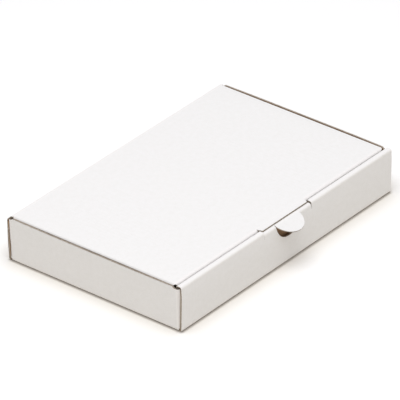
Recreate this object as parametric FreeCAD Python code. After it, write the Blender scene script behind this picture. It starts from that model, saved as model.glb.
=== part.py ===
import FreeCAD, Part
import math
import os

Vector = FreeCAD.Vector

# Mailer box, die-cut and folded from one sheet of thin single-wall corrugated board.
# All sizes are in millimetres. X runs along the front wall to the right, Y to the lid's
# fold at the back, and Z up. The origin is the middle of the underside.
# The sheet is two solids, because the lid swings at its fold: the tray is the base, the
# four walls and their dust flaps, and the lid is its panel, its lip and its tuck flap.

# Outside of the closed box
box_length = 240.0
box_width = 156.0
box_height = 35.5

# Board
board = 1.5
layer_gap = 0.1
fit_gap = 0.25

# Fold radii on the outside face
base_fold_radius = 2.2
hinge_fold_radius = 2.5
roll_fold_radius = 1.6
flap_fold_radius = 2.0
tuck_fold_radius = 1.7

# Side walls: one layer each, with relieved ends under the roll and under the lid's fold
side_wall_drop = 0.7
relief_depth = 2.3
relief_slope = 2.4
front_relief_length = 7.5
rear_relief_length = 6.0
rear_wedge = 1.8
corner_cut = 1.0

# Dust flaps, folded from the ends of the side walls
dust_flap_length = 62.0
dust_flap_taper = 3.0
dust_flap_corner = 8.0

# Lock tabs of the roll's inner panel, and their slots in the base
lock_tab_spacing = 144.0
lock_tab_width = 26.0
lock_tab_corner = 0.8
lock_slot_play = 0.3

# Opening in the middle of the roll, with its lowered strip
lock_opening_length = 53.3
knife_cut = 0.3
strip_drop = 1.2
strip_depth = 2.55
strip_cut_depth = 5.7
strip_fold_radius = 1.7

# Half-moon thumb tab and the half-round hole that it leaves
thumb_radius = 13.3
thumb_cut = 0.2
thumb_droop = 19.5
thumb_hinge_depth = 1.0
thumb_fold_radius = 2.4

# Lid panel
lid_side_play = 0.85
lid_front_play = 0.6
lid_corner_length = 2.4
lid_corner_depth = 1.4
lid_shoulder = 0.4
lid_shoulder_slant = 0.9

# Lip at the middle of the lid's front edge
lip_half_length = 25.0
lip_slant = 1.5

# Tuck flap
tuck_flap_length = 22.0
tuck_flap_lean = 6.0
tuck_flap_taper = 3.0
tuck_flap_corner = 11.0

# Places that follow from the sizes above
half_length = box_length / 2
half_width = box_width / 2
roll_depth = 3 * board + 2 * layer_gap
roll_inside = -half_width + roll_depth
flap_face = half_width - board - layer_gap
tuck_fold = roll_inside + lid_front_play
tuck_fold_start = tuck_fold + tuck_fold_radius * math.tan(math.radians(90 + tuck_flap_lean) / 2)
side_wall_top = box_height - side_wall_drop
lid_half_length = half_length - board - lid_side_play
opening_half_length = lock_opening_length / 2
strip_top = box_height - strip_drop
strip_edge = -half_width + strip_depth
lip_edge = strip_edge + fit_gap
tuck_notch_depth = tuck_fold_start - lip_edge + 2 * knife_cut

# Shorter than this, a straight edge is left out
smallest_edge = 0.0001

# Each drawing plane: its axis across, its axis up, and the axis that a drawing is pulled along
side_view = (Vector(0, 1, 0), Vector(0, 0, 1), Vector(1, 0, 0))
front_view = (Vector(1, 0, 0), Vector(0, 0, 1), Vector(0, 1, 0))
plan_view = (Vector(1, 0, 0), Vector(0, 1, 0), Vector(0, 0, 1))


def line(start, end):
    # A straight edge in a list, which is empty where a fold starts at once
    if start.isEqual(end, smallest_edge):
        return []
    return [Part.LineSegment(start, end).toShape()]


def on_plane(edges, view, level):
    # Turns a flat drawing onto its plane, at a level along the axis that it is pulled along
    across, up, pull = view
    facing = across.cross(up)
    turn = FreeCAD.Matrix(
        across.x, up.x, facing.x, pull.x * level,
        across.y, up.y, facing.y, pull.y * level,
        across.z, up.z, facing.z, pull.z * level,
        0, 0, 0, 1,
    )
    wire = Part.Wire(Part.sortEdges(edges)[0])
    return wire.transformed(turn)


def pulled(edges, view, start, end):
    face = Part.Face(on_plane(edges, view, start))
    return face.extrude(view[2] * (end - start))


def fold_reach(radius, turn):
    # How far a fold's arc reaches from the sharp corner along each of its two panels
    return radius * math.tan(turn / 2)


def board_face_edges(corners, radii, depth):
    # One face of a folded board, at a depth below its outside face, as lines and fold arcs.
    # The inside face is on the left of the line of corners, and every fold turns left.
    points = [Vector(u, v, 0) for u, v in corners]
    alongs = [(end - start).normalize() for start, end in zip(points, points[1:])]
    inwards = [Vector(-along.y, along.x, 0) for along in alongs]
    edges = []
    start = points[0] + inwards[0] * depth
    last = start
    for index, radius in enumerate(radii):
        corner = points[index + 1]
        reach = fold_reach(radius, alongs[index].getAngle(alongs[index + 1]))
        fold_start = corner - alongs[index] * reach
        fold_end = corner + alongs[index + 1] * reach
        centre = fold_start + inwards[index] * radius
        bulge = (corner - centre).normalize() * (radius - depth)
        arc_start = fold_start + inwards[index] * depth
        arc_end = fold_end + inwards[index + 1] * depth
        edges += line(last, arc_start)
        edges.append(Part.Arc(arc_start, centre + bulge, arc_end).toShape())
        last = arc_end
    end = points[-1] + inwards[-1] * depth
    edges += line(last, end)
    return edges, start, end


def board_edges(corners, radii):
    # The closed section of a folded board, with square-cut ends
    outside, outside_start, outside_end = board_face_edges(corners, radii, 0)
    inside, inside_start, inside_end = board_face_edges(corners, radii, board)
    return outside + inside + line(outside_start, inside_start) + line(outside_end, inside_end)


def folded_board(view, corners, radii, start, end):
    return pulled(board_edges(corners, radii), view, start, end)


def outline_edges(corners):
    # A closed outline. Each corner is (across, up) or (across, up, radius).
    points = [Vector(corner[0], corner[1], 0) for corner in corners]
    radii = [corner[2] if len(corner) > 2 else 0 for corner in corners]
    entries = []
    arcs = []
    for index, (corner, radius) in enumerate(zip(points, radii)):
        before = (corner - points[index - 1]).normalize()
        after = (points[(index + 1) % len(points)] - corner).normalize()
        if radius == 0:
            entries.append((corner, corner))
            continue
        turn = before.getAngle(after)
        reach = fold_reach(radius, turn)
        entry = corner - before * reach
        leave = corner + after * reach
        to_centre = (after - before).normalize()
        centre = corner + to_centre * (radius / math.cos(turn / 2))
        arcs.append(Part.Arc(entry, centre - to_centre * radius, leave).toShape())
        entries.append((entry, leave))
    lines = []
    for index, (entry, leave) in enumerate(entries):
        lines += line(entries[index - 1][1], entry)
    return lines + arcs


def prism(view, corners, start, end):
    return pulled(outline_edges(corners), view, start, end)


def block(x_range, y_range, z_range):
    size = [high - low for low, high in (x_range, y_range, z_range)]
    return Part.makeBox(*size, Vector(x_range[0], y_range[0], z_range[0]))


def mirrored(shape):
    return shape.mirror(Vector(0, 0, 0), Vector(1, 0, 0))


def both_sides(shape):
    return [shape, mirrored(shape)]


def joined(shapes):
    return shapes[0].fuse(shapes[1:]).removeSplitter()


def rolled_section():
    # The sheet from the roll's inner panel over the front, under the base and up the back wall.
    # It runs past the hinge fold, which is cut at its middle afterwards.
    corners = [
        (roll_inside, board + layer_gap),
        (roll_inside, box_height),
        (-half_width, box_height),
        (-half_width, 0),
        (half_width, 0),
        (half_width, box_height),
        (half_width - 2 * hinge_fold_radius, box_height),
    ]
    radii = [roll_fold_radius, roll_fold_radius, base_fold_radius, base_fold_radius, hinge_fold_radius]
    return folded_board(side_view, corners, radii, -half_length, half_length)


def lid_side_of_hinge():
    # Room above the slanted plane that halves the hinge fold
    reach = 3 * hinge_fold_radius
    corners = [
        (half_width + board, box_height + board),
        (half_width - reach, box_height + board),
        (half_width - reach, box_height - reach),
    ]
    return prism(side_view, corners, -box_length, box_length)


def base_side_trim():
    # Room at the end of the base for the side wall's bottom fold
    return block(
        (half_length - base_fold_radius, box_length),
        (-half_width + base_fold_radius, half_width - base_fold_radius),
        (-board, board + layer_gap / 2),
    )


def inner_panel_trim():
    # The inner panel is shorter than the roll, so that it drops between the side walls
    return block(
        (half_length - board - layer_gap, box_length),
        (-half_width + board + layer_gap / 2, roll_inside + layer_gap),
        (board + layer_gap / 2, box_height - roll_fold_radius),
    )


def side_bottom_fold():
    corners = [
        (half_length - 2 * base_fold_radius, 0),
        (half_length, 0),
        (half_length, base_fold_radius + board),
    ]
    ends = flap_face - corner_cut
    fold = folded_board(front_view, corners, [base_fold_radius], -ends, ends)
    above = block((0, box_length), (-box_width, box_width), (base_fold_radius, box_height))
    return fold.cut(above)


def side_wall_ring(level, rear_face):
    # Section through a side wall and both of its dust flaps at one height
    flap_end = half_length - dust_flap_length
    corners = [
        (flap_end, -flap_face),
        (half_length, -flap_face),
        (half_length, rear_face),
        (flap_end, rear_face),
    ]
    edges = board_edges(corners, [flap_fold_radius, flap_fold_radius])
    return on_plane(edges, plan_view, level)


def side_wall_cheek(y_middle, y_reach):
    # The upright sheet in front view that a dust flap is cut from, with a tapered, rounded end
    low = base_fold_radius
    high = box_height - base_fold_radius
    flap_end = half_length - dust_flap_length
    corners = [
        (half_length + board, low),
        (half_length + board, box_height),
        (half_length - flap_fold_radius, box_height),
        (half_length - flap_fold_radius, high),
        (flap_end, high - dust_flap_taper, dust_flap_corner),
        (flap_end, low + dust_flap_taper, dust_flap_corner),
        (half_length - flap_fold_radius, low),
    ]
    return prism(front_view, corners, y_middle - y_reach, y_middle + y_reach)


def side_wall():
    # The rear flap leans in towards its foot, which leaves the wedge beside the back wall
    foot = side_wall_ring(base_fold_radius, flap_face - rear_wedge)
    head = side_wall_ring(side_wall_top, flap_face)
    wall = Part.makeLoft([foot, head], True, True)
    cheeks = side_wall_cheek(0, half_width)
    middle = block((half_length - board, half_length), (-flap_face, flap_face), (0, box_height))
    wall = wall.common(cheeks.fuse(middle))
    for side, length in ((-1, front_relief_length), (1, rear_relief_length)):
        corners = [
            (side * (half_width - length), box_height),
            (side * (half_width - length), side_wall_top),
            (side * (half_width - length + relief_slope), box_height - relief_depth),
            (side * box_width, box_height - relief_depth),
            (side * box_width, box_height),
        ]
        wall = wall.cut(prism(side_view, corners, half_length - flap_fold_radius - board, box_length))
    return wall


def lock_tab(x_middle):
    # The tab goes down through the base and ends flush with the underside
    corners = [
        (x_middle - lock_tab_width / 2, board + 2 * layer_gap),
        (x_middle - lock_tab_width / 2, layer_gap, lock_tab_corner),
        (x_middle + lock_tab_width / 2, layer_gap, lock_tab_corner),
        (x_middle + lock_tab_width / 2, board + 2 * layer_gap),
    ]
    return prism(front_view, corners, roll_inside - board, roll_inside)


def lock_slot(x_middle):
    half_slot = lock_tab_width / 2 + lock_slot_play
    depth = (roll_inside - board - lock_slot_play, roll_inside + lock_slot_play)
    return block((x_middle - half_slot, x_middle + half_slot), depth, (-board, board + layer_gap / 2))


def roll_opening():
    # The roll's top is open in the middle: its band is away, its inner panel is lower, and its
    # outer panel is cut free down to the strip's root
    across = (-opening_half_length - knife_cut, opening_half_length + knife_cut)
    above = box_height + board
    inner_panel_top = box_height - board - fit_gap
    inner_cut = block(across, (-half_width - board, roll_inside + board), (inner_panel_top, above))
    outer_panel = (-half_width - board, -half_width + board + layer_gap / 2)
    outer_cut = block(across, outer_panel, (box_height - strip_cut_depth, above))
    return inner_cut.fuse(outer_cut)


def strip():
    corners = [
        (strip_edge, strip_top),
        (-half_width, strip_top),
        (-half_width, box_height - strip_cut_depth),
    ]
    radii = [strip_fold_radius]
    return folded_board(side_view, corners, radii, -opening_half_length, opening_half_length)


def thumb_hole():
    middle = Vector(0, -half_width - board, strip_top)
    return Part.makeCylinder(thumb_radius, 2 * board + layer_gap / 2, middle, Vector(0, 1, 0))


def thumb_tab():
    # A half disc on the strip's outer edge, which droops to the front
    droop = math.radians(thumb_droop)
    hinge = (strip_edge - thumb_hinge_depth, strip_top)
    tip = (hinge[0] - thumb_radius * math.cos(droop), hinge[1] - thumb_radius * math.sin(droop))
    half_tab = thumb_radius - thumb_cut
    corners = [(strip_edge, strip_top), hinge, tip]
    sheet = folded_board(side_view, corners, [thumb_fold_radius], -half_tab, half_tab)
    normal = Vector(0, -math.sin(droop), math.cos(droop))
    foot = Vector(0, hinge[0], hinge[1]) - normal * (2 * board)
    disc = Part.makeCylinder(half_tab, 4 * board, foot, normal)
    behind_hinge = block((-half_tab, half_tab), (hinge[0], 0), (0, box_height))
    return sheet.common(disc.fuse(behind_hinge))


def tray():
    sheet = rolled_section()
    trims = both_sides(base_side_trim()) + both_sides(inner_panel_trim())
    tab_places = (-lock_tab_spacing / 2, lock_tab_spacing / 2)
    slots = [lock_slot(place) for place in tab_places]
    sheet = sheet.cut(trims + slots + [roll_opening(), lid_side_of_hinge()])
    front = joined([sheet, strip()]).cut(thumb_hole())
    tabs = [lock_tab(place) for place in tab_places]
    walls = both_sides(side_wall()) + both_sides(side_bottom_fold())
    return joined([front, thumb_tab()] + tabs + walls)


def lid_panel():
    # Flat outline of the lid between its folds, with the lip in the middle of its front edge
    back = half_width - hinge_fold_radius
    half_outline = [
        (half_length, back),
        (half_length, back - lid_shoulder),
        (lid_half_length, back - lid_shoulder - lid_shoulder_slant),
        (lid_half_length, tuck_fold_start),
        (lip_half_length + lip_slant, tuck_fold_start),
        (lip_half_length + lip_slant, tuck_fold),
        (lip_half_length, lip_edge),
    ]
    other_half = [(-x, y) for x, y in reversed(half_outline)]
    return prism(plan_view, half_outline + other_half, box_height - board, box_height)


def hinge_half_fold():
    # The lid's half of the fold at the back
    corners = [
        (half_width, box_height - hinge_fold_radius),
        (half_width, box_height),
        (half_width - hinge_fold_radius, box_height),
    ]
    fold = folded_board(side_view, corners, [hinge_fold_radius], -half_length, half_length)
    return fold.common(lid_side_of_hinge())


def tuck_flap():
    # The front fold and the flap below it, which leans in so that it swings clear of the roll
    lean = math.radians(tuck_flap_lean)
    foot = (
        tuck_fold + tuck_flap_length * math.sin(lean),
        box_height - tuck_flap_length * math.cos(lean),
    )
    corners = [(tuck_fold_start, box_height), (tuck_fold, box_height), foot]
    sheet = folded_board(side_view, corners, [tuck_fold_radius], -lid_half_length, lid_half_length)
    half_flap = lid_half_length - lid_corner_length
    outline = [
        (lid_half_length, box_height),
        (lid_half_length, box_height - tuck_fold_radius),
        (half_flap, box_height - tuck_fold_radius),
        (half_flap - tuck_flap_taper, foot[1] - board, tuck_flap_corner),
    ]
    outline += [(-corner[0],) + corner[1:] for corner in reversed(outline)]
    notch_half = lip_half_length + lip_slant
    notch = block(
        (-notch_half, notch_half),
        (-half_width, tuck_fold_start),
        (box_height - tuck_notch_depth, box_height),
    )
    return sheet.common(prism(front_view, outline, -half_width, 0)).cut(notch)


def lid_corner():
    # The bevel at a front corner of the lid, cut through its panel and its front fold
    corners = [
        (half_length, tuck_fold + lid_corner_depth),
        (lid_half_length, tuck_fold + lid_corner_depth),
        (lid_half_length - lid_corner_length, tuck_fold),
        (lid_half_length - lid_corner_length, -half_width),
        (half_length, -half_width),
    ]
    return prism(plan_view, corners, box_height - tuck_fold_radius, box_height + board)


def lid():
    sheet = joined([lid_panel(), hinge_half_fold(), tuck_flap()])
    return sheet.cut(both_sides(lid_corner()))


def write_node(name, shape):
    solids = shape.Solids
    print(name, len(solids), "solid", round(shape.Volume), "mm3, valid", shape.isValid())
    corner = shape.BoundBox
    print("  x", round(corner.XMin, 2), round(corner.XMax, 2), "y", round(corner.YMin, 2),
          round(corner.YMax, 2), "z", round(corner.ZMin, 2), round(corner.ZMax, 2))
    solids[0].exportStep("parts/" + name + ".step")


os.makedirs("parts", exist_ok=True)
write_node("tray", tray())
write_node("lid", lid())
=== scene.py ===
import math

import bmesh
import bpy
from mathutils import Matrix, Vector


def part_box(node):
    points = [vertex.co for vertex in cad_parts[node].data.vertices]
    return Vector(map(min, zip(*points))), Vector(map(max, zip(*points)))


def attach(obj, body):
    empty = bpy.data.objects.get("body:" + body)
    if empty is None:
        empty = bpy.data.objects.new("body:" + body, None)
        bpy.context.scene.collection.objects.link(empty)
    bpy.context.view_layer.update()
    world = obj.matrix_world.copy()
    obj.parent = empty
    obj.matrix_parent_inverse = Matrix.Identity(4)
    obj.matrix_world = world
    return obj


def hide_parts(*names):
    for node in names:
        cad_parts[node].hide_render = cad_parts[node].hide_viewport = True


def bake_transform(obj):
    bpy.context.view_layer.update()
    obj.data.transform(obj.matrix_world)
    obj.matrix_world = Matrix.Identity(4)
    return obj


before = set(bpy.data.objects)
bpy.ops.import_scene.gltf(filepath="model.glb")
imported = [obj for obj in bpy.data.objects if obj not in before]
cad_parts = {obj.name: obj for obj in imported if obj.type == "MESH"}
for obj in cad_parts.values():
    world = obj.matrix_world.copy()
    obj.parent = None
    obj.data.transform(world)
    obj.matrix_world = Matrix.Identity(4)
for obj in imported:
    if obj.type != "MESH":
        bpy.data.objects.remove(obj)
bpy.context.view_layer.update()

perMetre = 1000          # the sheet is laid out in millimetres, and each piece is scaled to metres at its end
near = 0.001             # millimetres, which tells the two sides of a line apart


def linear(code):
    # sRGB hex to the linear colour that the shaders take
    parts = [int(code[i:i + 2], 16) / 255 for i in (1, 3, 5)]
    return [p / 12.92 if p <= 0.04045 else ((p + 0.055) / 1.055) ** 2.4 for p in parts] + [1.0]


def addNode(tree, kind, settings=None, inputs=None):
    # one shader node with its settings, its values and its links
    node = tree.nodes.new(kind)
    for name, value in (settings or {}).items():
        setattr(node, name, value)
    for name, value in (inputs or {}).items():
        socket = node.inputs[name]
        if isinstance(value, bpy.types.NodeSocket):
            tree.links.new(value, socket)
        else:
            socket.default_value = value
    return node


# Studio
studio = {
    "floorSize": 6.0,            # metres
    "floorLevel": -0.0001,       # just clear of the underside, so that the two don't flicker
    "floorColour": "#e6e2da",    # what the floor throws back onto the box
    "floorGlow": 0.04,           # lifts the floor that the camera sees to white
    "paintedFootShade": ((0.024, "#ece8e1"), (0.0024, "#a9a29a")),   # painted shade at the box's foot: metres from the box, and the colour against it
    "shadowFull": 0.5,           # share of open sky at which the painted foot shade is deepest
    "shadowSamples": 16,
    "skyStrength": 0.62,
    "zenithColour": "#fbfbff",
    "horizonColour": "#f8f2e8",
    "zenithFrom": 0.8,           # height on a sky of radius 1 from which it has the zenith's colour
    "softboxPlace": (-0.3, -0.2, 1.6),
    "softboxSize": 1.2,
    "softboxPower": 14,          # watts
}


def seenDirectly(tree):
    # 1 for what the camera sees, also in or through something shiny
    path = addNode(tree, "ShaderNodeLightPath")
    direct = addNode(tree, "ShaderNodeMath", {"operation": "ADD"},
                     {0: path.outputs["Is Camera Ray"], 1: path.outputs["Is Glossy Ray"]})
    total = addNode(tree, "ShaderNodeMath", {"operation": "ADD", "use_clamp": True},
                    {0: direct.outputs[0], 1: path.outputs["Is Transmission Ray"]})
    return total.outputs[0]


def makeFloor():
    bm = bmesh.new()
    bmesh.ops.create_grid(bm, x_segments=1, y_segments=1, size=studio["floorSize"] / 2)
    mesh = bpy.data.meshes.new("floor")
    bm.to_mesh(mesh)
    bm.free()
    floor = bpy.data.objects.new("floor", mesh)
    floor.location.z = studio["floorLevel"]
    bpy.context.scene.collection.objects.link(floor)
    material = bpy.data.materials.new("paleStudioFloor")
    material.use_nodes = True
    tree = material.node_tree
    tree.nodes.clear()
    plain = addNode(tree, "ShaderNodeBsdfDiffuse", inputs={"Color": linear(studio["floorColour"])})
    shade = linear("#ffffff")
    # in a colour mix, inputs 6 and 7 are the two colours and output 2 is the result
    # painted shade: the floor's colour darkens near the box, where the ambient occlusion node finds it, on
    # top of the floor's own shadow
    for reach, deepest in studio["paintedFootShade"]:
        openness = addNode(tree, "ShaderNodeAmbientOcclusion", {"samples": studio["shadowSamples"]},
                           {"Distance": reach})
        away = addNode(tree, "ShaderNodeMapRange",
                       inputs={"Value": openness.outputs["AO"], "From Min": studio["shadowFull"]})
        shade = addNode(tree, "ShaderNodeMix", {"data_type": "RGBA"},
                        {0: away.outputs[0], 6: linear(deepest), 7: shade}).outputs[2]
    pale = addNode(tree, "ShaderNodeBsdfDiffuse", inputs={"Color": shade})
    glow = addNode(tree, "ShaderNodeEmission",
                   inputs={"Color": linear("#ffffff"), "Strength": studio["floorGlow"]})
    seen = addNode(tree, "ShaderNodeAddShader")
    tree.links.new(pale.outputs[0], seen.inputs[0])
    tree.links.new(glow.outputs[0], seen.inputs[1])
    mix = addNode(tree, "ShaderNodeMixShader", inputs={0: seenDirectly(tree)})
    tree.links.new(plain.outputs[0], mix.inputs[1])
    tree.links.new(seen.outputs[0], mix.inputs[2])
    out = addNode(tree, "ShaderNodeOutputMaterial")
    tree.links.new(mix.outputs[0], out.inputs["Surface"])
    mesh.materials.append(material)


def makeSky():
    world = bpy.data.worlds.new("studioAir")
    bpy.context.scene.world = world
    world.use_nodes = True
    tree = world.node_tree
    tree.nodes.clear()
    way = addNode(tree, "ShaderNodeTexCoord")
    parts = addNode(tree, "ShaderNodeSeparateXYZ", inputs={"Vector": way.outputs["Generated"]})
    up = addNode(tree, "ShaderNodeMapRange",
                 inputs={"Value": parts.outputs["Z"], "From Min": 0.0, "From Max": studio["zenithFrom"]})
    tint = addNode(tree, "ShaderNodeMix", {"data_type": "RGBA"},
                   {0: up.outputs[0], 6: linear(studio["horizonColour"]), 7: linear(studio["zenithColour"])})
    air = addNode(tree, "ShaderNodeBackground",
                  inputs={"Color": tint.outputs[2], "Strength": studio["skyStrength"]})
    white = addNode(tree, "ShaderNodeBackground", inputs={"Color": linear("#ffffff"), "Strength": 1.0})
    mix = addNode(tree, "ShaderNodeMixShader", inputs={0: seenDirectly(tree)})
    tree.links.new(air.outputs[0], mix.inputs[1])
    tree.links.new(white.outputs[0], mix.inputs[2])
    out = addNode(tree, "ShaderNodeOutputWorld")
    tree.links.new(mix.outputs[0], out.inputs["Surface"])


def makeSoftbox():
    data = bpy.data.lights.new("softboxAbove", "AREA")
    data.shape = "SQUARE"
    data.size = studio["softboxSize"]
    data.energy = studio["softboxPower"]
    softbox = bpy.data.objects.new("softboxAbove", data)
    bpy.context.scene.collection.objects.link(softbox)
    softbox.location = studio["softboxPlace"]
    softbox.rotation_euler = (-softbox.location).to_track_quat("-Z", "Y").to_euler()    # faces the box


# Camera, matched to the photograph
cameraView = {
    "azimuth": -50.998,       # degrees, from straight in front of the thumb tab
    "elevation": 31.048,
    "roll": -0.4895,
    "distance": 3.9417,       # metres
    "sideStep": -0.0013966,   # metres, across the line of sight
    "rise": 0.017947,
    "lens": 498.9,            # millimetres
    "sensor": 36.0,
    "clipEnd": 50,
}


def makeCamera():
    azimuth = math.radians(cameraView["azimuth"])
    elevation = math.radians(cameraView["elevation"])
    roll = math.radians(cameraView["roll"])
    back = Vector((math.sin(azimuth) * math.cos(elevation),
                   -math.cos(azimuth) * math.cos(elevation),
                   math.sin(elevation)))
    right = (-back).cross(Vector((0, 0, 1))).normalized()
    up = right.cross(-back)
    place = back * cameraView["distance"] + right * cameraView["sideStep"] + up * cameraView["rise"]
    across = right * math.cos(roll) + up * math.sin(roll)
    above = up * math.cos(roll) - right * math.sin(roll)
    data = bpy.data.cameras.new("camera")
    data.lens = cameraView["lens"]
    data.sensor_fit = "HORIZONTAL"
    data.sensor_width = cameraView["sensor"]
    data.clip_end = cameraView["clipEnd"]
    camera = bpy.data.objects.new("camera", data)
    bpy.context.scene.collection.objects.link(camera)
    turn = Matrix((across, above, back)).transposed().to_4x4()
    camera.matrix_world = Matrix.Translation(place) @ turn
    bpy.context.scene.camera = camera


# Board: each piece is cut out flat, and a point of it is known by its place across the box (a), its place
# along the sheet (b) and its height above the outside face, before it moves to where the folds bring it
board = {                    # millimetres
    "thickness": 1.5,
    "liner": 0.24,           # each of the two papers
    "flutePitch": 3.3,
    "fluteSteps": 8,         # straight parts in one wave
    "mediumPaper": 0.2,
    "mediumReach": 1.1,      # how far in from a cut edge the waves are modelled
    "cutRecess": 0.3,        # how far in from a cut edge the space between the papers is open
    "crush": 0.22,           # share of the thickness that a crease takes away
    "foldSteps": 6,
    "cornerSteps": 6,        # straight parts in a rounded corner
    "creaseReach": 0.8,      # how far the painted light of a fold spreads beside it
    "panelStep": 12.0,
    "sharpAngle": 28,        # degrees between two faces, past which the edge stays crisp
}

# The closed box, read from the frame
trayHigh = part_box("tray")[1]
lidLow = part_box("lid")[0]
box = {                      # millimetres
    "halfLength": trayHigh.x * perMetre,
    "halfWidth": trayHigh.y * perMetre,
    "height": trayHigh.z * perMetre,
    "baseFold": 2.2,         # fold radii on the outside face
    "hingeFold": 4.0,
    "rollFold": 1.6,
    "flapFold": 2.0,
    "tuckFold": 1.7,
    "rollDepth": 4.7,        # from the front wall's face to the inner panel's
    "seam": 0.2,             # flat board that the hinge piece takes on each side of its fold
}
half, wide, high = box["halfLength"], box["halfWidth"], box["height"]


def turned(direction, angle):
    # a direction turned to the left, in the plane of a section
    c, s = math.cos(angle), math.sin(angle)
    return Vector((direction.x * c - direction.y * s, direction.x * s + direction.y * c))


def layPath(start, degrees, steps):
    # a section of the folded sheet, from the runs (length,) and left-hand folds (radius, degrees) that
    # its outside face makes
    place, at, pieces = Vector(start), 0.0, []
    heading = turned(Vector((1, 0)), math.radians(degrees))
    for step in steps:
        if len(step) == 1:
            pieces.append({"from": at, "to": at + step[0], "radius": None,
                           "place": place, "heading": heading})
            place = place + heading * step[0]
            at += step[0]
            continue
        radius, turn = step[0], math.radians(step[1])
        length = (radius - board["thickness"] / 2) * turn
        centre = place + turned(heading, math.pi / 2) * radius
        pieces.append({"from": at, "to": at + length, "radius": radius,
                       "place": centre, "heading": heading})
        heading = turned(heading, turn)
        place = centre - turned(heading, math.pi / 2) * radius
        at += length
    return pieces


def onPath(pieces, distance, height):
    # where a point of the flat sheet comes to lie in the section
    piece = pieces[0]
    for other in pieces[1:]:
        if distance >= other["from"]:
            piece = other
    along = distance - piece["from"]
    if piece["radius"] is None:
        return piece["place"] + piece["heading"] * along + turned(piece["heading"], math.pi / 2) * height
    neutral = piece["radius"] - board["thickness"] / 2
    share = along / (piece["to"] - piece["from"])
    height *= 1 - board["crush"] * math.sin(math.pi * min(max(share, 0), 1)) ** 2
    outward = turned(piece["heading"], along / neutral - math.pi / 2)
    return piece["place"] + outward * (piece["radius"] - height)


def creaseAt(pieces, distance):
    # 1 on a fold and 0 past its reach, which sets the light painted along the folds
    share = 0.0
    for piece in pieces:
        if piece["radius"] is not None:
            outside = max(piece["from"] - distance, distance - piece["to"], 0)
            share = max(share, 1 - outside / board["creaseReach"])
    return share


def eased(value, low, high):
    # a smooth step from 0 to 1
    share = min(max((value - low) / (high - low), 0), 1)
    return share * share * (3 - 2 * share)


def hump(value, low, high):
    # 0 at both ends and 1 in the middle
    share = min(max((value - low) / (high - low), 0), 1)
    return math.sin(math.pi * share) ** 2


def evenPlaces(low, high, step):
    # places that divide a stretch evenly, without its ends
    count = max(1, round((high - low) / step))
    return [low + (high - low) * i / count for i in range(1, count)]


def foldLines(pieces, offset=0.0):
    # flat distances where a section's folds are divided, and their two ends
    lines = []
    for piece in pieces:
        if piece["radius"] is not None:
            start, end = piece["from"] + offset, piece["to"] + offset
            lines += [start - board["creaseReach"], start]
            lines += evenPlaces(start, end, (end - start) / board["foldSteps"])
            lines += [end, end + board["creaseReach"]]
    return lines


def endLines(end, reach, shares):
    # where a sheet is divided towards its left and right ends
    return [side * (end - reach * share) for side in (-1, 1) for share in shares]


def arcPoints(centre, radius, start, end, steps):
    return [(centre[0] + radius * math.cos(math.radians(start + (end - start) * i / steps)),
             centre[1] + radius * math.sin(math.radians(start + (end - start) * i / steps)))
            for i in range(steps + 1)]


def bothHalves(rightHalf):
    # a closed outline from its right half, whose first and last points lie nearest the middle line
    return rightHalf + [(-point[0],) + tuple(point[1:]) for point in reversed(rightHalf)]


def drawLoop(bm, points):
    # a closed line of edges, with the corners that have a radius rounded off
    verts = [bm.verts.new((point[0], point[1], 0)) for point in points]
    for a, b in zip(verts, verts[1:] + verts[:1]):
        bm.edges.new((a, b))
    for vert, point in zip(verts, points):
        if len(point) > 2:
            bmesh.ops.bevel(bm, geom=[vert], offset=point[2], offset_type="OFFSET", profile=0.5,
                            segments=board["cornerSteps"], affect="VERTICES", material=-1)


def cutAt(bm, axis, places):
    # divides the sheet with straight lines, at places along axis 0 (a) or 1 (b)
    for place in places:
        middle = (place, 0, 0) if axis == 0 else (0, place, 0)
        normal = (1, 0, 0) if axis == 0 else (0, 1, 0)
        everything = bm.verts[:] + bm.edges[:] + bm.faces[:]
        bmesh.ops.bisect_plane(bm, geom=everything, dist=near, plane_co=middle, plane_no=normal)


def cutBlank(loops):
    # the flat sheet, cut out along its outline and holes, with its outside face down at z = 0
    bm = bmesh.new()
    for loop in loops:
        drawLoop(bm, loop)
    bmesh.ops.triangle_fill(bm, use_beauty=True, use_dissolve=False, edges=bm.edges[:])
    bmesh.ops.recalc_face_normals(bm, faces=bm.faces[:])
    if bm.faces[0].normal.z < 0:
        bmesh.ops.reverse_faces(bm, faces=bm.faces[:])
    return bm


def thicken(bm, seams):
    # outside paper, fluted middle and inside paper, with the middle set back at every cut edge but the seams
    levels = [0, board["liner"], board["thickness"] - board["liner"], board["thickness"]]
    top = bm.faces[:]
    for lower, upper in zip(levels, levels[1:]):
        grown = bmesh.ops.extrude_face_region(bm, geom=top)["geom"]
        if lower > 0:
            bmesh.ops.delete(bm, geom=top, context="FACES")
        top = [part for part in grown if isinstance(part, bmesh.types.BMFace)]
        verts = [part for part in grown if isinstance(part, bmesh.types.BMVert)]
        bmesh.ops.translate(bm, verts=verts, vec=(0, 0, upper - lower))
    bmesh.ops.recalc_face_normals(bm, faces=bm.faces[:])
    bm.normal_update()
    rim = []
    for face in bm.faces:
        centre = face.calc_center_median()
        if levels[1] < centre.z < levels[2] and all(abs(centre.y - seam) > near for seam in seams):
            rim.append(face)
    bmesh.ops.inset_region(bm, faces=rim, use_boundary=True, use_even_offset=True,
                           thickness=0.0, depth=-board["cutRecess"])
    for face in bm.faces:
        level = face.calc_center_median().z
        if level < levels[1]:
            face.material_index = boardPapers.index(whiteLiner)
        elif level > levels[3] - near:
            face.material_index = boardPapers.index(kraftLiner)
        else:
            face.material_index = boardPapers.index(flutedMedium)


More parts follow.
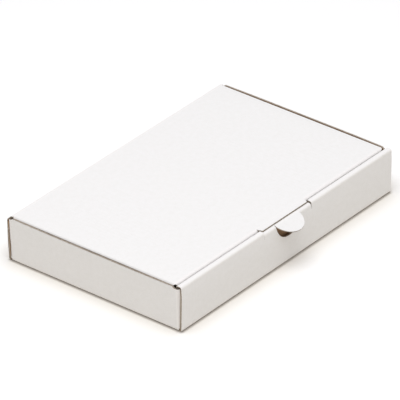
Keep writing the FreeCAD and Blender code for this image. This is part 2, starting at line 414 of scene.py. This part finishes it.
def waves(loops, lines):
    # the fluted paper along the cut edges, a strip that runs in waves across the sheet
    bm = cutBlank(loops)
    rim = bmesh.ops.inset_region(bm, faces=bm.faces[:], use_boundary=True, use_even_offset=True,
                                 thickness=board["mediumReach"], depth=0)["faces"]
    kept = set(rim)
    bmesh.ops.delete(bm, geom=[face for face in bm.faces if face not in kept], context="FACES")
    for axis, places in lines:
        cutAt(bm, axis, places)
    step = board["flutePitch"] / board["fluteSteps"]
    count = int(max(abs(vert.co.x) for vert in bm.verts) / step)
    cutAt(bm, 0, [i * step for i in range(-count, count + 1)])
    rise = board["thickness"] / 2 - board["liner"] - board["mediumPaper"] / 2
    for vert in bm.verts:
        vert.co.z = (board["thickness"] - board["mediumPaper"]) / 2
        vert.co.z += rise * math.sin(2 * math.pi * vert.co.x / board["flutePitch"])
    bmesh.ops.solidify(bm, geom=bm.faces[:], thickness=board["mediumPaper"])
    bmesh.ops.recalc_face_normals(bm, faces=bm.faces[:])
    for face in bm.faces:
        face.material_index = boardPapers.index(flutedMedium)
    return bm


def makeSheet(name, loops, lines, place, seams):
    # one folded piece of the board, from its flat outline, the lines that divide it and the way it is folded
    bm = cutBlank(loops)
    for axis, places in lines:
        cutAt(bm, axis, places)
    thicken(bm, seams)
    flutes = bpy.data.meshes.new(name + "Flutes")
    strip = waves(loops, lines)
    strip.to_mesh(flutes)
    strip.free()
    bm.from_mesh(flutes)
    bpy.data.meshes.remove(flutes)
    flat = bm.verts.layers.float_vector.new("flatPlace")
    crease = bm.verts.layers.float.new("creaseShare")
    for vert in bm.verts:
        vert[flat] = vert.co
        vert.co, vert[crease] = place(*vert.co)
    if bm.calc_volume(signed=True) < 0:      # folding turned the sheet inside out
        bmesh.ops.reverse_faces(bm, faces=bm.faces[:])
    bmesh.ops.scale(bm, verts=bm.verts[:], vec=(1 / perMetre, 1 / perMetre, 1 / perMetre))
    for face in bm.faces:
        face.smooth = True
    mesh = bpy.data.meshes.new(name)
    bm.to_mesh(mesh)
    bm.free()
    mesh.set_sharp_from_angle(angle=math.radians(board["sharpAngle"]))
    for material in boardPapers:
        mesh.materials.append(material)
    piece = bpy.data.objects.new(name, mesh)
    bpy.context.scene.collection.objects.link(piece)
    print(name, len(mesh.vertices), "points", len(mesh.polygons), "faces")
    return piece


# Papers of the board
paper = {
    "white": "#f3f2f2",          # bleached outside liner
    "whiteShade": "#efeeed",
    "whiteFoldHighlight": "#f5f3f2",    # painted highlight along a fold
    "kraft": "#ab8c6b",          # unbleached inside liner
    "kraftDark": "#876950",
    "medium": "#c4b9ac",         # fluted paper and the recess of a cut edge
    "mediumDark": "#a69a8c",
    "mottle": 4.0,               # millimetres across one cloud of the pulp
    "fibreWidth": 0.35,          # drawn coarser than real fibres, which are too fine to show
    "fibreLength": 2.4,
    "fibreShare": 0.45,          # how much of the tone is fibres, and the rest is clouds
    "toneRange": (0.35, 0.65),   # noise that gives the light and the dark colour
    "fleckScale": 1.9,           # dark bits left in the pulp, in noise cells to a millimetre
    "fleckRange": (0.74, 0.8),   # noise at which a fleck starts and is whole
    "unevenness": 0.05,          # of the roughness, either way
    "ior": 1.5,                  # of cellulose
    "gloss": 0.35,               # specular level, low on loose fibres
}


def paperSurface(name, light, dark, crease, roughness, relief, speckle):
    # cellulose fibres pressed flat: dull, with faint clouds, fibres that lie along the sheet and a
    # washboard where the flutes show through; relief is in millimetres, speckle is how dark the flecks are,
    # and crease is the colour painted along the folds as their light and shade
    material = bpy.data.materials.new(name)
    material.use_nodes = True
    tree = material.node_tree
    tree.nodes.clear()
    place = addNode(tree, "ShaderNodeAttribute", {"attribute_name": "flatPlace"}).outputs["Vector"]
    folded = addNode(tree, "ShaderNodeAttribute", {"attribute_name": "creaseShare"}).outputs["Fac"]
    cloud = addNode(tree, "ShaderNodeTexNoise",
                    inputs={"Vector": place, "Scale": 1 / paper["mottle"], "Detail": 3.0, "Roughness": 0.6})
    lengthened = addNode(tree, "ShaderNodeVectorMath", {"operation": "MULTIPLY"},
                         {0: place, 1: (1 / paper["fibreWidth"], 1 / paper["fibreLength"], 1.0)})
    fibres = addNode(tree, "ShaderNodeTexNoise",
                     inputs={"Vector": lengthened.outputs[0], "Scale": 1.0, "Detail": 2.0, "Distortion": 0.4})
    tone = addNode(tree, "ShaderNodeMath", {"operation": "MULTIPLY"},
                   {0: fibres.outputs["Fac"], 1: paper["fibreShare"]})
    both = addNode(tree, "ShaderNodeMath", {"operation": "MULTIPLY_ADD"},
                   {0: cloud.outputs["Fac"], 1: 1 - paper["fibreShare"], 2: tone.outputs[0]})
    spread = addNode(tree, "ShaderNodeMapRange",
                     inputs={"Value": both.outputs[0],
                             "From Min": paper["toneRange"][0], "From Max": paper["toneRange"][1]})
    base = addNode(tree, "ShaderNodeMix", {"data_type": "RGBA"},
                   {0: spread.outputs[0], 6: linear(light), 7: linear(dark)})
    fleck = addNode(tree, "ShaderNodeTexNoise",
                    inputs={"Vector": place, "Scale": paper["fleckScale"], "Detail": 0.0})
    rare = addNode(tree, "ShaderNodeMapRange",
                   inputs={"Value": fleck.outputs["Fac"], "To Max": speckle,
                           "From Min": paper["fleckRange"][0], "From Max": paper["fleckRange"][1]})
    flecked = addNode(tree, "ShaderNodeMix", {"data_type": "RGBA"},
                      {0: rare.outputs[0], 6: base.outputs[2], 7: linear(paper["kraftDark"])})
    # painted light along the folds: a highlight on the white paper, shade on the kraft and the medium
    paintedFoldLight = addNode(tree, "ShaderNodeMix", {"data_type": "RGBA"},
                   {0: folded, 6: flecked.outputs[2], 7: linear(crease)})
    # a band texture of scale 1 repeats each pi / 10
    washboard = addNode(tree, "ShaderNodeTexWave",
                        {"wave_type": "BANDS", "bands_direction": "X", "wave_profile": "SIN"},
                        {"Vector": place, "Scale": math.pi / 10 / board["flutePitch"]})
    ripple = addNode(tree, "ShaderNodeMath", {"operation": "MULTIPLY"},
                     {0: washboard.outputs["Fac"], 1: relief["washboard"]})
    height = addNode(tree, "ShaderNodeMath", {"operation": "MULTIPLY_ADD"},
                     {0: fibres.outputs["Fac"], 1: relief["fibres"], 2: ripple.outputs[0]})
    bump = addNode(tree, "ShaderNodeBump",
                   inputs={"Height": height.outputs[0], "Distance": 1 / perMetre, "Strength": 1.0})
    dull = addNode(tree, "ShaderNodeMapRange",
                   inputs={"Value": both.outputs[0], "To Min": roughness - paper["unevenness"],
                           "To Max": roughness + paper["unevenness"]})
    skin = addNode(tree, "ShaderNodeBsdfPrincipled",
                   inputs={"Base Color": paintedFoldLight.outputs[2], "Roughness": dull.outputs[0],
                           "Normal": bump.outputs[0], "IOR": paper["ior"],
                           "Specular IOR Level": paper["gloss"]})
    out = addNode(tree, "ShaderNodeOutputMaterial")
    tree.links.new(skin.outputs[0], out.inputs["Surface"])
    return material


# Bleached kraft, pressed smooth in the mill: an even, matt white, with a painted highlight along its folds
whiteLiner = paperSurface("bleachedKraftLinerPressed",
                          paper["white"], paper["whiteShade"], paper["whiteFoldHighlight"],
                          0.62, {"washboard": 0.02, "fibres": 0.02}, 0.12)
# Unbleached kraft, pressed less: a dull, cloudy brown that the flutes show through, with painted shade along
# its folds
kraftLiner = paperSurface("kraftLinerPressed", paper["kraft"], paper["kraftDark"], paper["kraftDark"],
                          0.75, {"washboard": 0.06, "fibres": 0.05}, 0.3)
# Recycled paper between them, where the knife has cut it: rough and greyish brown, with painted shade along
# its folds
flutedMedium = paperSurface("flutedMediumCut", paper["medium"], paper["mediumDark"], paper["mediumDark"],
                            0.85, {"washboard": 0.0, "fibres": 0.08}, 0.0)
boardPapers = [whiteLiner, kraftLiner, flutedMedium]
print("papers ready")


# Tray: base, walls, dust flaps, rolled front and thumb tab, from one blank
tray = {                     # millimetres
    "innerFoot": 1.6,        # the roll's inner panel stands just above the base
    "innerHalf": 118.4,
    "sideTop": 34.8,
    "reliefTop": 33.2,       # the side wall's top at its two ends
    "frontRelief": 70.5,     # where that top starts to drop, and where it is down
    "frontReliefEnd": 72.9,
    "rearRelief": 72.0,
    "rearReliefEnd": 74.4,
    "foldEnd": 75.4,         # ends of the side walls' bottom folds
    "flapFace": 76.4,        # from the middle to the dust flaps' outer faces
    "flapLength": 60.0,
    "flapTaper": 3.0,
    "flapCorner": 8.0,
    "rearWedge": 1.8,        # how far the sheet is drawn forward at the foot of a rear fold
    "lockTab": (59.0, 85.0),     # its two sides, from the middle
    "lockTabLength": 1.5,
    "lockTabCorner": 0.8,
    "lockSlot": (-75.1, -73.0),  # front and back of its slot in the base
    "slotPlay": 0.3,         # between each side of the tab and the slot's end
    "stripHalf": 26.65,      # half of the lowered strip that the thumb tab hangs from
    "stripCut": 0.22,        # gap at each of its ends
    "stripTaper": 0.3,       # how much shorter that half is at the strip's free edge
    "stripRoot": 29.8,       # height where the strip leaves the front wall
    "stripTop": 34.3,
    "stripDepth": 2.55,      # from the front wall's face back to the free edge
    "stripFold": 1.7,
    "innerOpening": 33.75,   # height where the cut round the strip ends on the inner panel
    "thumbRadius": 13.3,
    "thumbCut": 0.2,
    "thumbSteps": 28,
    "thumbDroop": 19.5,      # degrees
    "thumbHinge": 1.0,       # from the free edge to the tab's bend
    "thumbFold": 2.4,
    "thumbThinned": 0.5,     # share of the thickness that the knife has pressed out of the tab's tip
    "backBow": 0.3,
    "backBowMiddle": 0.35,   # share of the bow at the middle, against its ends
    "frontBow": 0.25,
}

settle = {                   # millimetres that the hand-folded box is off square
    "frontLean": (0.9, 0.45),    # at its left and right ends
    "frontLeanFrom": 26.0,
    "backLean": 1.0,
    "sideLean": (0.9, 0.85),     # the tops of the left and right walls stand out
    "sideBand": (3.0, 0.5),      # in from a side wall's face, where its corners' bulge starts and is whole
    "cornerFrom": 0.8,           # shares of the half width between which the corner folds stand off
    "cornerFull": 0.96,
    "rearCorner": 0.8,           # the side walls' rear folds bulge towards the back wall
    "frontCorner": 0.6,          # the side walls' front folds stand off the rolled front at the top
    "frontShort": (1.3, 0.9),    # the rolled front is drawn in at its left end's top and right end's foot
    "frontShortReach": 30.0,     # how far along the front that shows
    "frontBand": 5.2,            # and how far back
    "stripSlide": -0.35,         # the lowered strip is pushed to the left at the top
    "endCrush": 0.5,             # share of their thickness that the top folds lose at their two ends
    "endCrushReach": 2.5,
    "endCrushShares": (0.35, 0.7, 1),
    "crushFade": (2.0, 6.0, 9.0),    # the crush dies out down the inner panel, front wall and back wall
    "lidSlide": -0.05,           # the lid lies a little to the left
}

rollPath = layPath((-wide + box["rollDepth"], tray["innerFoot"]), 90, [
    (high - box["rollFold"] - tray["innerFoot"],), (box["rollFold"], 90),
    (box["rollDepth"] - 2 * box["rollFold"],), (box["rollFold"], 90),
    (high - box["rollFold"] - box["baseFold"],), (box["baseFold"], 90),
    (2 * (wide - box["baseFold"]),), (box["baseFold"], 90),
    (high - box["hingeFold"] - box["seam"] - box["baseFold"],),
])
innerFold, outerFold = rollPath[1], rollPath[3]
frontWall, basePanel, backWall = rollPath[4], rollPath[6], rollPath[8]
baseMiddle = basePanel["from"] + wide - box["baseFold"]
sidePath = layPath((0, 0), 0, [(half - box["baseFold"],), (box["baseFold"], 90), (high,)])
flapPath = layPath((half, 0), 90, [
    (tray["flapFace"] - box["flapFold"],), (box["flapFold"], 90), (tray["flapLength"],)])
stripPath = layPath((-wide + tray["stripDepth"], tray["stripTop"]), 180, [
    (tray["stripDepth"] - tray["stripFold"],), (tray["stripFold"], 90), (high,)])
droop = math.radians(tray["thumbDroop"])
tabReach = tray["thumbFold"] * math.tan(droop / 2)
tabPath = layPath((-wide + tray["stripDepth"], tray["stripTop"]), 180, [
    (tray["thumbHinge"] - tabReach,), (tray["thumbFold"], tray["thumbDroop"]), (high,)])


def frontFlat(level):
    # flat place of a height on the front wall
    return frontWall["from"] + (high - box["rollFold"] - level) - baseMiddle


def innerFlat(level):
    # flat place of a height on the roll's inner panel
    return level - tray["innerFoot"] - baseMiddle


def sideFlat(level):
    # flat place of a height on a side wall
    return sidePath[2]["from"] + level - box["baseFold"]


wallFoot = sideFlat(box["baseFold"])
sideStart = (half + wallFoot) / 2                                # between the base's width and the side walls
sideFoldStop = (tray["foldEnd"] + wide - box["baseFold"]) / 2    # between the side folds' ends and the roll
stripLength = stripPath[2]["from"] + tray["stripTop"] - tray["stripFold"] - tray["stripRoot"]
stripEdge = frontFlat(tray["stripRoot"]) - stripLength
openingMiddle = (innerFlat(tray["innerOpening"]) + stripEdge) / 2
thumbMiddle = stripEdge + stripPath[2]["from"] - tray["stripFold"]
tabRadius = tray["thumbRadius"] - tray["thumbCut"]
tabLength = tabPath[2]["from"] + tabRadius - tabReach
tabStretch = (tabLength - (thumbMiddle - stripEdge)) / tabRadius
backSeam = backWall["to"] - baseMiddle
crushLines = endLines(half, settle["endCrushReach"], settle["endCrushShares"])


def trayLoops():
    flapEnd = flapPath[1]["to"] + tray["flapLength"]
    flapStart = flapPath[1]["to"]
    foldEnd, low, dip = tray["foldEnd"], wallFoot + tray["flapTaper"], sideFlat(tray["reliefTop"])
    innerEnd, rollEnd = innerFlat(tray["innerFoot"]), innerFlat(high - box["rollFold"])
    tabFoot = innerEnd - tray["lockTabLength"]
    outline = bothHalves([
        (tray["lockTab"][0], innerEnd),
        (tray["lockTab"][0], tabFoot, tray["lockTabCorner"]),
        (tray["lockTab"][1], tabFoot, tray["lockTabCorner"]),
        (tray["lockTab"][1], innerEnd),
        (tray["innerHalf"], innerEnd),
        (tray["innerHalf"], rollEnd),
        (half, rollEnd),
        (half, box["baseFold"] - wide),
        (half - box["baseFold"], box["baseFold"] - wide),
        (half - box["baseFold"], -foldEnd),
        (wallFoot, -foldEnd),
        (wallFoot, -flapStart),
        (low, -flapEnd, tray["flapCorner"]),
        (dip - tray["flapTaper"], -flapEnd, tray["flapCorner"]),
        (dip, -flapStart),
        (dip, -tray["frontReliefEnd"]),
        (sideFlat(tray["sideTop"]), -tray["frontRelief"]),
        (sideFlat(tray["sideTop"]), tray["rearRelief"]),
        (dip, tray["rearReliefEnd"]),
        (dip, flapStart),
        (dip - tray["flapTaper"], flapEnd, tray["flapCorner"]),
        (low, flapEnd, tray["flapCorner"]),
        (wallFoot, flapStart),
        (wallFoot, foldEnd),
        (half - box["baseFold"], foldEnd),
        (half - box["baseFold"], wide - box["baseFold"]),
        (half, wide - box["baseFold"]),
        (half, backSeam),
    ])
    slotEnds = (tray["lockTab"][0] - tray["slotPlay"], tray["lockTab"][1] + tray["slotPlay"])
    slot = [(slotEnds[0], tray["lockSlot"][0]), (slotEnds[1], tray["lockSlot"][0]),
            (slotEnds[1], tray["lockSlot"][1]), (slotEnds[0], tray["lockSlot"][1])]
    cut = tray["stripHalf"] + tray["stripCut"]
    root = frontFlat(tray["stripRoot"])
    opening = bothHalves([
        (cut, innerFlat(tray["innerOpening"])), (cut, root),
        (tray["stripHalf"], root), (tray["stripHalf"] - tray["stripTaper"], stripEdge)])
    kerf = arcPoints((0, thumbMiddle), tray["thumbRadius"], 0, 180, tray["thumbSteps"])
    kerf += arcPoints((0, thumbMiddle), tabRadius, 180, 0, tray["thumbSteps"])
    return [outline, slot, [(-x, y) for x, y in slot], opening, kerf]


def settled(x, y, z):
    # a box folded by hand stands a little askew: its front leans back at the top, and so does its back
    left, right = settle["frontLean"]
    lean = left + (right - left) * (x + half) / (2 * half)
    front = lean * eased(z, settle["frontLeanFrom"], high)
    back = settle["backLean"] * z / high
    return x, y + front + (back - front) * eased(y, -wide / 2, wide / 2), z


def crushed(a, share):
    # the share of its thickness that a top fold keeps towards its two ends
    return 1 - settle["endCrush"] * share * eased(abs(a), half - settle["endCrushReach"], half)


def trayBow(a, distance):
    # hand-folded walls stand a little proud between their folds
    fromMiddle = (a / half) ** 2
    middle = tray["backBowMiddle"]
    return (tray["frontBow"] * hump(distance, frontWall["from"], frontWall["to"]) * (1 - fromMiddle)
            + tray["backBow"] * hump(distance, backWall["from"], backWall["to"])
            * (middle + (1 - middle) * fromMiddle))


def trayPlace(a, b, height):
    # a point of the folded tray, with what folding by hand adds
    (x, y, z), crease = trayFold(a, b, height)
    bandFrom, bandFull = (half - inset for inset in settle["sideBand"])
    cornerFrom, cornerFull = settle["cornerFrom"] * wide, settle["cornerFull"] * wide
    if abs(a) > sideStart and abs(x) > bandFrom:
        x += math.copysign(settle["sideLean"][x > 0] * (z / high) ** 2 * (1 - (y / wide) ** 4), x)
        outer = eased(abs(x), bandFrom, bandFull)
        y += settle["rearCorner"] * outer * eased(y, cornerFrom, cornerFull)
        y += settle["frontCorner"] * outer * eased(-y, cornerFrom, cornerFull) * z / high
    elif y < settle["frontBand"] - wide:
        left, right = settle["frontShort"]
        inner = half - settle["frontShortReach"]
        x += left * z / high * eased(-x, inner, half) - right * (1 - z / high) * eased(x, inner, half)
    return settled(x, y, z), crease


def trayFold(a, b, height):
    # a point of the tray as its folds alone would place it
    across = abs(a)
    if across > (half - box["baseFold"] + near if abs(b) < sideFoldStop else sideStart):
        return wallFold(a, b, height)
    fromEdge, fromMiddle = b - stripEdge, b - thumbMiddle
    if fromMiddle > near and math.hypot(a, fromMiddle) < (tray["thumbRadius"] + tabRadius) / 2:
        distance = thumbMiddle - stripEdge + fromMiddle * tabStretch
        height *= 1 - tray["thumbThinned"] * math.hypot(a, fromMiddle) / tabRadius
        at = onPath(tabPath, distance, height)
        return (a, at.x, at.y), creaseAt(tabPath, distance)
    if across < tray["stripHalf"] + tray["stripCut"] / 2 and b > openingMiddle and fromEdge < stripLength:
        at = onPath(stripPath, fromEdge, height)
        slide = settle["stripSlide"] * (1 - max(fromEdge, 0) / stripLength)
        return (a + slide, at.x, at.y), creaseAt(stripPath, fromEdge)
    distance = b + baseMiddle
    innerFade, frontFade, backFade = settle["crushFade"]
    onFold = eased(distance, innerFold["from"] - innerFade, innerFold["from"])
    onFold -= eased(distance, outerFold["to"], outerFold["to"] + frontFade)
    onFold += eased(distance, backWall["to"] - backFade, backWall["to"])
    at = onPath(rollPath, distance, height * crushed(a, onFold) - trayBow(a, distance))
    return (a, at.x, at.y), creaseAt(rollPath, distance)


def wallFold(a, b, height):
    # a side wall with its bottom fold and its two dust flaps
    across, along = abs(a), abs(b)
    if across < wallFoot - near:
        at = onPath(sidePath, across, height)
        return (math.copysign(at.x, a), b, at.y), creaseAt(sidePath, across)
    level = box["baseFold"] + across - wallFoot
    if b > 0:
        low = 1 - (level - box["baseFold"]) / (tray["sideTop"] - box["baseFold"])
        behind = min(max((b - wide / 2) / (flapPath[1]["from"] - wide / 2), 0), 1)
        along -= tray["rearWedge"] * low * behind
    at = onPath(flapPath, along, height)
    crease = max(creaseAt(sidePath, across), creaseAt(flapPath, along))
    return (math.copysign(at.x, a), math.copysign(at.y, b), level), crease


def makeTray():
    rollLines = foldLines(rollPath, -baseMiddle)
    sideLines = foldLines(sidePath)
    flapLines = foldLines(flapPath)
    stripLines = foldLines(stripPath, stripEdge) + foldLines(tabPath, stripEdge)
    wallStep = board["panelStep"] / 2
    lines = [
        (1, rollLines), (1, stripLines),
        (1, flapLines + [-line for line in flapLines]),
        (0, sideLines + [-line for line in sideLines]),
        (0, evenPlaces(-half, half, board["panelStep"])),
        (0, crushLines),
        (1, evenPlaces(-wide, wide, board["panelStep"])),
        (1, evenPlaces(rollLines[-1], backSeam, wallStep)),
        (1, evenPlaces(frontFlat(high - box["rollFold"]), frontFlat(box["baseFold"]), wallStep)),
        (0, evenPlaces(wallFoot, sideFlat(tray["sideTop"]), board["panelStep"])),
    ]
    sheet = makeSheet("traySheet", trayLoops(), lines, trayPlace, [backSeam])
    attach(sheet, "tray")
    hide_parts("tray")


# Lid: panel, lip and tuck flap
lid = {                      # millimetres
    "halfLength": 118.1,
    "frontFold": -72.3,      # the corner that the front fold rounds
    "edgeCrush": 1.15,       # how far the knife has pressed the white paper down over the cut side edges
    "edgeCrushReach": 1.5,
    "edgeCrushShares": (0.2, 0.45, 0.7, 1),
    "flapLean": 6.0,         # degrees
    "flapLength": 22.0,
    "flapTaper": 3.0,
    "flapCorner": 11.0,
    "bevel": ((2.4, 1.54), (1.2, 0.75), (0, 0.28)),     # in from the side, and on from the flat panel's front
    "lipHalf": 25.0,
    "lipSlant": 1.5,
    "lipEdge": lidLow.y * perMetre,
    "lipCut": 0.15,
    "notchPlay": 0.33,
    "shoulder": 2.6,         # flat distance from the lid's seam where the sheet has the lid's full length
    "shoulderSlant": 0.75,   # over which it narrows from the tray's length
    "bow": 0.25,
}
tuckTurn = 90 + lid["flapLean"]
tuckReach = box["tuckFold"] * math.tan(math.radians(tuckTurn) / 2)
panelFront = lid["frontFold"] + tuckReach
panelBack = wide - box["hingeFold"] - box["seam"]
lidPath = layPath((panelBack, high), 180, [
    (panelBack - panelFront,), (box["tuckFold"], tuckTurn), (lid["flapLength"] - tuckReach,)])


def lidLoops():
    corner = [(lid["halfLength"] - inset, panelFront - past) for inset, past in lid["bevel"]]
    foot = (corner[0][0] - lid["flapTaper"], panelBack - lidPath[2]["to"], lid["flapCorner"])
    outline = bothHalves([foot] + corner + [(lid["halfLength"], panelBack)])
    outer = lid["lipHalf"] + lid["lipSlant"]
    inner = outer - lid["lipCut"]
    notch = lid["lipEdge"] - lid["notchPlay"]
    slit = [(outer, panelFront), (outer, notch), (-outer, notch), (-outer, panelFront),
            (-inner, panelFront), (-inner, lid["frontFold"]), (-lid["lipHalf"], lid["lipEdge"]),
            (lid["lipHalf"], lid["lipEdge"]), (inner, lid["frontFold"]), (inner, panelFront)]
    return [outline, slit]


def lidPlace(a, b, height):
    # a point of the folded lid, with what folding by hand adds
    (x, y, z), crease = lidFold(a, b, height)
    x += settle["lidSlide"] * eased(-b, -panelBack, -wide / 2)
    return settled(x, y, z), crease


def lidFold(a, b, height):
    # a point of the lid as its folds alone would place it: the lip stays in line with the panel
    outer = lid["lipHalf"] + lid["lipSlant"] - lid["lipCut"] / 2
    pressed = lid["edgeCrush"] * (1 - min((lid["halfLength"] - abs(a)) / lid["edgeCrushReach"], 1)) ** 2
    height = pressed + height * (1 - pressed / board["thickness"])
    if b >= panelFront or (abs(a) < outer and b > lid["lipEdge"] - lid["notchPlay"] / 2):
        rise = lid["bow"] * hump(b, panelFront, panelBack) * (1 - (a / half) ** 2)
        return (a, b, high - height + rise), creaseAt(lidPath, panelBack - b) if b >= panelFront else 0.0
    at = onPath(lidPath, panelBack - b, height)
    return (a, at.x, at.y), creaseAt(lidPath, panelBack - b)


def makeLid():
    lines = [
        (1, [panelBack - line for line in foldLines(lidPath)]),
        (0, evenPlaces(-lid["halfLength"], lid["halfLength"], board["panelStep"])),
        (0, endLines(lid["halfLength"], lid["edgeCrushReach"], lid["edgeCrushShares"])),
        (1, evenPlaces(panelFront, panelBack, board["panelStep"])),
    ]
    sheet = makeSheet("lidSheet", lidLoops(), lines, lidPlace, [panelBack])
    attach(sheet, "lid")
    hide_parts("lid")


# Fold at the back, made closed here: on the box it is the one stretch of board that bends when the lid opens
hingePath = layPath((wide, high - box["hingeFold"] - box["seam"]), 90, [
    (box["seam"],), (box["hingeFold"], 90), (box["seam"],)])
hingeEnd = hingePath[2]["to"]


def hingeLoops():
    return [bothHalves([
        (half, 0), (half, hingeEnd - lid["shoulder"] - lid["shoulderSlant"]),
        (lid["halfLength"], hingeEnd - lid["shoulder"]),
        (lid["halfLength"], hingeEnd),
    ])]


def hingePlace(a, b, height):
    at = onPath(hingePath, b, height * crushed(a, 1))
    return settled(a, at.x, at.y), creaseAt(hingePath, b)


def makeHinge():
    lines = [(1, foldLines(hingePath)), (0, evenPlaces(-half, half, board["panelStep"])), (0, crushLines)]
    sheet = makeSheet("hingeFold", hingeLoops(), lines, hingePlace, [0, hingeEnd])
    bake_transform(sheet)


makeTray()
makeLid()
makeHinge()
print("box folded")

makeFloor()
makeSky()
makeSoftbox()
makeCamera()
print("studio ready")

bpy.context.scene.view_settings.view_transform = "Standard"
